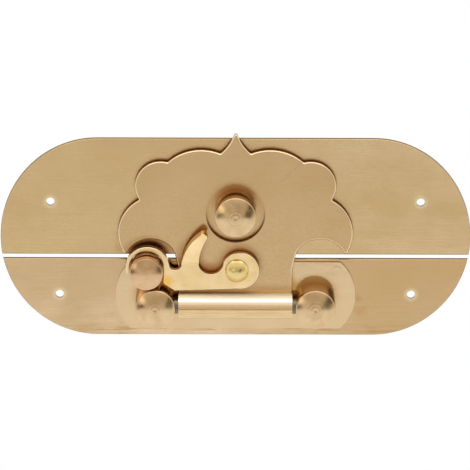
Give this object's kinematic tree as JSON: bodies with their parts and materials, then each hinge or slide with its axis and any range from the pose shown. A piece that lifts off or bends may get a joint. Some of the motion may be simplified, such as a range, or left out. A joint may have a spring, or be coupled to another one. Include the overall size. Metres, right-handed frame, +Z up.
{
  "type": "hinged chest clasp with hasp and lever latch",
  "caption": "Nail-on chest clasp: a cloud-shaped hasp hinged on the box plate drops over a knob on the lid plate and is held by a small hooked lever.",
  "frame": {"origin": "on the lower plate's back, halfway between its two nail holes", "axes": "+X to the right along the hinge pin, +Z up the chest, -Y out from the chest's face"},
  "size_m": [0.16, 0.012, 0.0722],
  "materials": {
    "brushed_plate": "fine horizontal brushing",
    "polished_seat": "polished",
    "turned_brass": "turned and polished",
    "hinge_pin": "drawn rod",
    "hasp_sheet": "satin with rounded polished edges",
    "pale_lever": "cast and polished"
  },
  "bodies": {
    "plates": {"upper_plate": "brushed_plate", "lower_plate": "brushed_plate", "hinge_seat_plate": "polished_seat", "seat_plate_rivet": "polished_seat", "left_hinge_post": "turned_brass", "right_hinge_post": "turned_brass", "hinge_pin": "hinge_pin", "lid_knob": "turned_brass", "latch_post": "turned_brass"},
    "hasp": {"flap": "hasp_sheet", "lever_rivet": "pale_lever"},
    "latch_lever": {"lever": "pale_lever"}
  },
  "joints": [
    {"name": "flap_swing", "type": "hinge", "parent": "plates", "child": "hasp", "pos_m": [0, -0.0059, -0.0026], "axis": [1, 0, 0], "range_deg": [0, 178]},
    {"name": "lever_lift", "type": "hinge", "parent": "hasp", "child": "latch_lever", "pos_m": [0.0005, -0.0046, 0.0101], "axis": [0, 1, 0], "range_deg": [-2.8, 12]}
  ]
}
